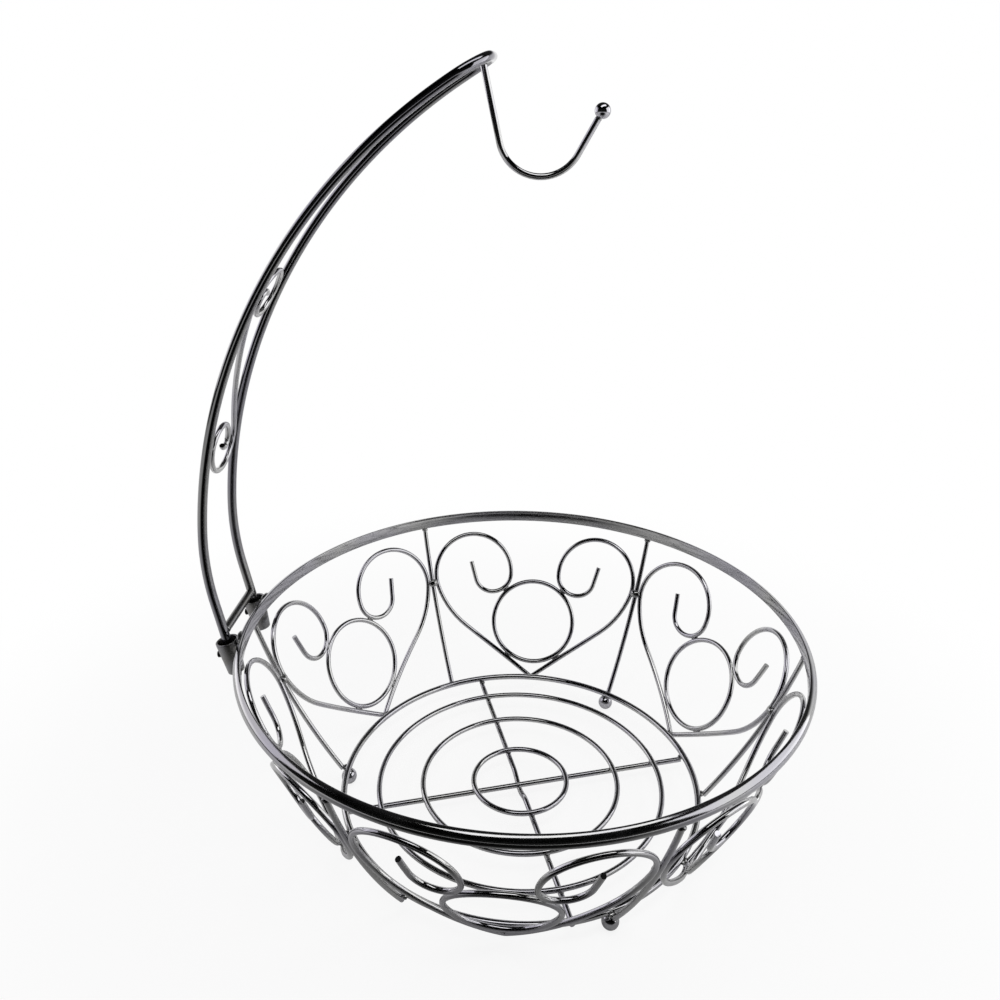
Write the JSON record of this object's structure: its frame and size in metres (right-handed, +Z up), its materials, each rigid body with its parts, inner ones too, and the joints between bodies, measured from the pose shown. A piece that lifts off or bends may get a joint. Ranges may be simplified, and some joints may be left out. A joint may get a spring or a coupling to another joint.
{
  "type": "fruit bowl with banana hanger",
  "caption": "Open wire fruit bowl with heart scroll sides on ball feet, and a lift-out arched hanger whose hook holds bananas over the bowl.",
  "frame": {"origin": "on the ground under the middle of the object's bounding box", "axes": "+Z up from the ball feet, +X from the hanger's foot across the bowl, +Y along the hanger's crossbar"},
  "size_m": [0.3211, 0.3048, 0.4063],
  "materials": {
    "chrome_band": "polished chrome plate on a flat steel band",
    "chrome_wire": "polished chrome plate on steel wire",
    "chrome_rod": "polished chrome plate on thick steel rod",
    "chrome_socket": "chrome plate on a turned cup, slightly dull",
    "chrome_ball": "bright chrome plate on a steel ball",
    "screw_steel": "blackened steel set screw"
  },
  "bodies": {
    "bowl": {"rim_ring": "chrome_band", "base_ring": "chrome_wire", "floor_ring_inner": "chrome_wire", "floor_ring_middle": "chrome_wire", "floor_ring_outer": "chrome_wire", "floor_cross_wire_a": "chrome_wire", "floor_cross_wire_b": "chrome_wire", "spoke_1": "chrome_wire", "spoke_2": "chrome_wire", "spoke_3": "chrome_wire", "spoke_4": "chrome_wire", "spoke_5": "chrome_wire", "spoke_6": "chrome_wire", "heart_wire_1": "chrome_wire", "heart_wire_2": "chrome_wire", "heart_wire_3": "chrome_wire", "heart_wire_4": "chrome_wire", "heart_wire_5": "chrome_wire", "heart_wire_6": "chrome_wire", "circle_wire_1": "chrome_wire", "circle_wire_2": "chrome_wire", "circle_wire_3": "chrome_wire", "circle_wire_4": "chrome_wire", "circle_wire_5": "chrome_wire", "circle_wire_6": "chrome_wire", "ball_foot_1": "chrome_ball", "ball_foot_2": "chrome_ball", "ball_foot_3": "chrome_ball", "arm_socket_front": "chrome_socket", "arm_socket_back": "chrome_socket", "lock_screw_front": "screw_steel", "lock_screw_back": "screw_steel"},
    "hanger": {"hanger_rod": "chrome_rod", "hanger_crossbar": "chrome_rod", "hanger_scroll": "chrome_wire", "hook_wire": "chrome_wire", "hook_ball": "chrome_ball"}
  },
  "joints": [
    {"name": "hanger_lift", "type": "slide", "parent": "bowl", "child": "hanger", "axis": [-0.225, 0, 0.9744], "range_m": [0, 0.03]}
  ]
}
